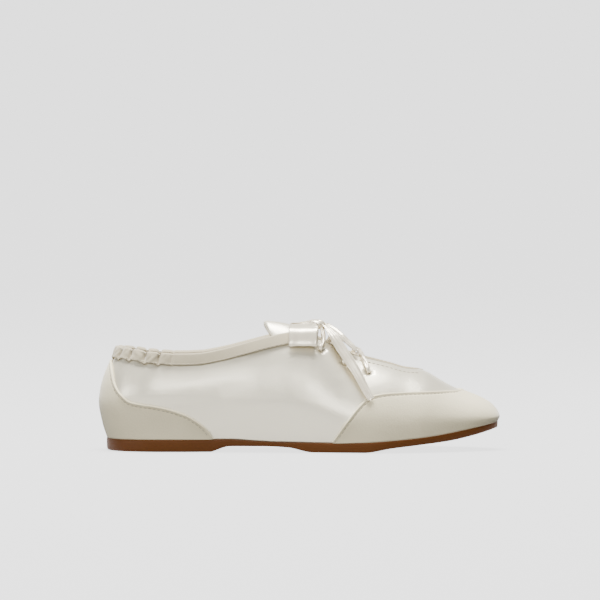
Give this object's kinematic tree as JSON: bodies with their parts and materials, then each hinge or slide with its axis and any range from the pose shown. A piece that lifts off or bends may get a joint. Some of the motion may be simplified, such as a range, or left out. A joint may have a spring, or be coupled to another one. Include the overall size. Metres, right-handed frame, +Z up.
{
  "type": "ballet slipper",
  "caption": "Lace-up satin ballet flat with a gathered elastic topline, matte heel and toe overlays, a ribbon bow and a rubber sole.",
  "frame": {"origin": "on the ground, under the middle of the shoe's bounding box", "axes": "+X towards the toe, +Y towards the inside of the foot, +Z up"},
  "size_m": [0.2544, 0.0822, 0.0826],
  "materials": {
    "satin": "satin",
    "ribbon": "satin",
    "overlay": "matte",
    "lining": "matte",
    "stiffener": "matte",
    "board": "matte",
    "foam": "matte",
    "elastic": "matte",
    "shank_steel": "brushed",
    "gum_rubber": "satin"
  },
  "bodies": {
    "shoe": {"outsole": "gum_rubber", "shank": "shank_steel", "bottom_filler": "foam", "insole_board": "board", "insole_foam": "foam", "sock_lining": "lining", "satin_upper": "satin", "upper_lining": "lining", "heel_counter": "stiffener", "toe_puff": "stiffener", "eyelet_reinforcement_lateral": "stiffener", "eyelet_reinforcement_medial": "stiffener", "heel_overlay": "overlay", "toe_overlay": "overlay", "topline_casing": "satin", "topline_elastic": "elastic", "ribbon_lacing": "ribbon", "bow_knot": "ribbon"},
    "tongue": {"tongue": "satin", "tongue_foam": "foam", "tongue_lining": "lining"},
    "loop_lateral": {"bow_loop_lateral": "ribbon"},
    "loop_medial": {"bow_loop_medial": "ribbon"},
    "tail_side": {"bow_tail_side": "ribbon"},
    "tail_top": {"bow_tail_top": "ribbon"}
  },
  "joints": [
    {"name": "tongue_press", "type": "hinge", "parent": "shoe", "child": "tongue", "pos_m": [0.084, 0.0055, 0.0395], "axis": [0, -1, 0], "range_deg": [0, 12], "stiffness_Nm_per_rad": 0.08, "springref_deg": -6.88},
    {"name": "loop_lateral_lift", "type": "hinge", "parent": "shoe", "child": "loop_lateral", "pos_m": [0.0088, -0.0085, 0.0794], "axis": [-1, 0, 0], "range_deg": [0, 55]},
    {"name": "loop_medial_lift", "type": "hinge", "parent": "shoe", "child": "loop_medial", "pos_m": [0.0088, 0.0055, 0.0794], "axis": [1, 0, 0], "range_deg": [0, 55]},
    {"name": "tail_side_lift", "type": "hinge", "parent": "shoe", "child": "tail_side", "pos_m": [0.0152, -0.0089, 0.0796], "axis": [-1, 0, 0], "range_deg": [0, 45]},
    {"name": "tail_top_lift", "type": "hinge", "parent": "shoe", "child": "tail_top", "pos_m": [0.017, -0.0035, 0.0799], "axis": [0, -1, 0], "range_deg": [0, 60]}
  ]
}
